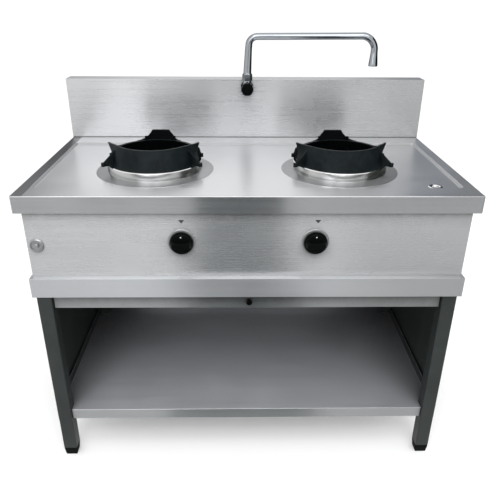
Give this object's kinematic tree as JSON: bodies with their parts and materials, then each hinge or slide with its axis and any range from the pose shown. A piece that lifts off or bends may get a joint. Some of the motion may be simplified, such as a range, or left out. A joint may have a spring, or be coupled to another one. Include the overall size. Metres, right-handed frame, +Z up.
{
  "type": "wok range",
  "caption": "Gas wok range on an open stand: cast rings on a stainless worktop, splash with swivel tap, knobs, igniter button, pull-out drip tray and shelf",
  "frame": {"origin": "On the floor, under the middle of the object's bounding box.", "axes": "+Z up, -Y towards the cook, +X to the cook's right."},
  "size_m": [1.2, 0.682, 1.2292],
  "materials": {
    "stainless": "brushed stainless sheet",
    "dark_frame": "satin dark grey coating",
    "polished_steel": "polished",
    "cast_iron": "sand cast, black heat-resistant coating",
    "brass": "machined",
    "alloy_tube": "drawn tube",
    "painted_pipe": "black paint",
    "copper_tube": "drawn copper tube",
    "ceramic": "glazed ceramic",
    "knob_black": "semi-gloss moulding",
    "moulded_black": "matt moulding"
  },
  "bodies": {
    "range": {"worktop": "stainless", "backsplash": "stainless", "front_panel": "stainless", "housing_back": "stainless", "housing_left": "stainless", "housing_right": "stainless", "band_front": "stainless", "band_rear": "stainless", "band_left": "stainless", "band_right": "stainless", "undershelf": "stainless", "tray_runners": "stainless", "drain_pipe": "stainless", "pilot_burners": "stainless", "flame_bowl_left": "stainless", "flame_bowl_right": "stainless", "side_panel_left": "dark_frame", "side_panel_right": "dark_frame", "back_panel": "dark_frame", "leg_front_left": "dark_frame", "leg_front_right": "dark_frame", "leg_rear_left": "dark_frame", "leg_rear_right": "dark_frame", "burner_collars": "polished_steel", "knob_bezels": "polished_steel", "drain_flange": "polished_steel", "igniter_body": "polished_steel", "tap_body": "polished_steel", "tap_nut": "polished_steel", "burner_head_left": "cast_iron", "burner_head_right": "cast_iron", "burner_caps": "cast_iron", "mixing_tubes": "cast_iron", "gas_valve_left": "brass", "gas_valve_right": "brass", "injectors": "brass", "thermocouples": "brass", "supply_pipes": "alloy_tube", "gas_manifold": "painted_pipe", "water_pipe": "copper_tube", "ignition_electrodes": "ceramic", "leg_inserts": "moulded_black"},
    "wok_ring_left": {"wok_ring_left": "cast_iron"},
    "wok_ring_right": {"wok_ring_right": "cast_iron"},
    "plug_left": {"valve_plug_left": "brass"},
    "plug_right": {"valve_plug_right": "brass"},
    "knob_left": {"valve_spindle_left": "polished_steel", "knob_left": "knob_black"},
    "knob_right": {"valve_spindle_right": "polished_steel", "knob_right": "knob_black"},
    "igniter_button": {"igniter_button": "knob_black"},
    "spout": {"tap_spout": "polished_steel"},
    "tap_handle": {"tap_spindle": "polished_steel", "tap_knob": "moulded_black"},
    "drip_tray": {"drip_tray": "stainless", "drip_tray_knob": "moulded_black"},
    "foot_front_left": {"foot_front_left": "moulded_black"},
    "foot_front_right": {"foot_front_right": "moulded_black"},
    "foot_rear_left": {"foot_rear_left": "moulded_black"},
    "foot_rear_right": {"foot_rear_right": "moulded_black"}
  },
  "joints": [
    {"name": "wok_ring_left_lift", "type": "slide", "parent": "range", "child": "wok_ring_left", "axis": [0, 0, 1], "range_m": [0, 0.12]},
    {"name": "valve_left_turn", "type": "hinge", "parent": "range", "child": "plug_left", "pos_m": [-0.176, -0.289, 0.75], "axis": [0, -1, 0], "range_deg": [0, 180]},
    {"name": "knob_left_push", "type": "slide", "parent": "plug_left", "child": "knob_left", "axis": [0, 1, 0], "range_m": [0, 0.004], "stiffness_N_per_m": 2000, "springref_m": -0.001},
    {"name": "wok_ring_right_lift", "type": "slide", "parent": "range", "child": "wok_ring_right", "axis": [0, 0, 1], "range_m": [0, 0.12]},
    {"name": "valve_right_turn", "type": "hinge", "parent": "range", "child": "plug_right", "pos_m": [0.176, -0.289, 0.75], "axis": [0, -1, 0], "range_deg": [0, 180]},
    {"name": "knob_right_push", "type": "slide", "parent": "plug_right", "child": "knob_right", "axis": [0, 1, 0], "range_m": [0, 0.004], "stiffness_N_per_m": 2000, "springref_m": -0.001},
    {"name": "igniter_push", "type": "slide", "parent": "range", "child": "igniter_button", "axis": [0, 1, 0], "range_m": [0, 0.005], "stiffness_N_per_m": 3000, "springref_m": -0.001},
    {"name": "spout_swivel", "type": "hinge", "parent": "range", "child": "spout", "pos_m": [0.003, 0.246, 1.072], "axis": [0, 0, 1], "continuous": true},
    {"name": "tap_turn", "type": "hinge", "parent": "range", "child": "tap_handle", "pos_m": [0.003, 0.226, 1.053], "axis": [0, -1, 0], "range_deg": [0, 540]},
    {"name": "drip_tray_pull", "type": "slide", "parent": "range", "child": "drip_tray", "axis": [0, -1, 0], "range_m": [0, 0.44]},
    {"name": "foot_front_left_level", "type": "slide", "parent": "range", "child": "foot_front_left", "axis": [0, 0, -1], "range_m": [0, 0.02]},
    {"name": "foot_front_right_level", "type": "slide", "parent": "range", "child": "foot_front_right", "axis": [0, 0, -1], "range_m": [0, 0.02]},
    {"name": "foot_rear_left_level", "type": "slide", "parent": "range", "child": "foot_rear_left", "axis": [0, 0, -1], "range_m": [0, 0.02]},
    {"name": "foot_rear_right_level", "type": "slide", "parent": "range", "child": "foot_rear_right", "axis": [0, 0, -1], "range_m": [0, 0.02]}
  ]
}
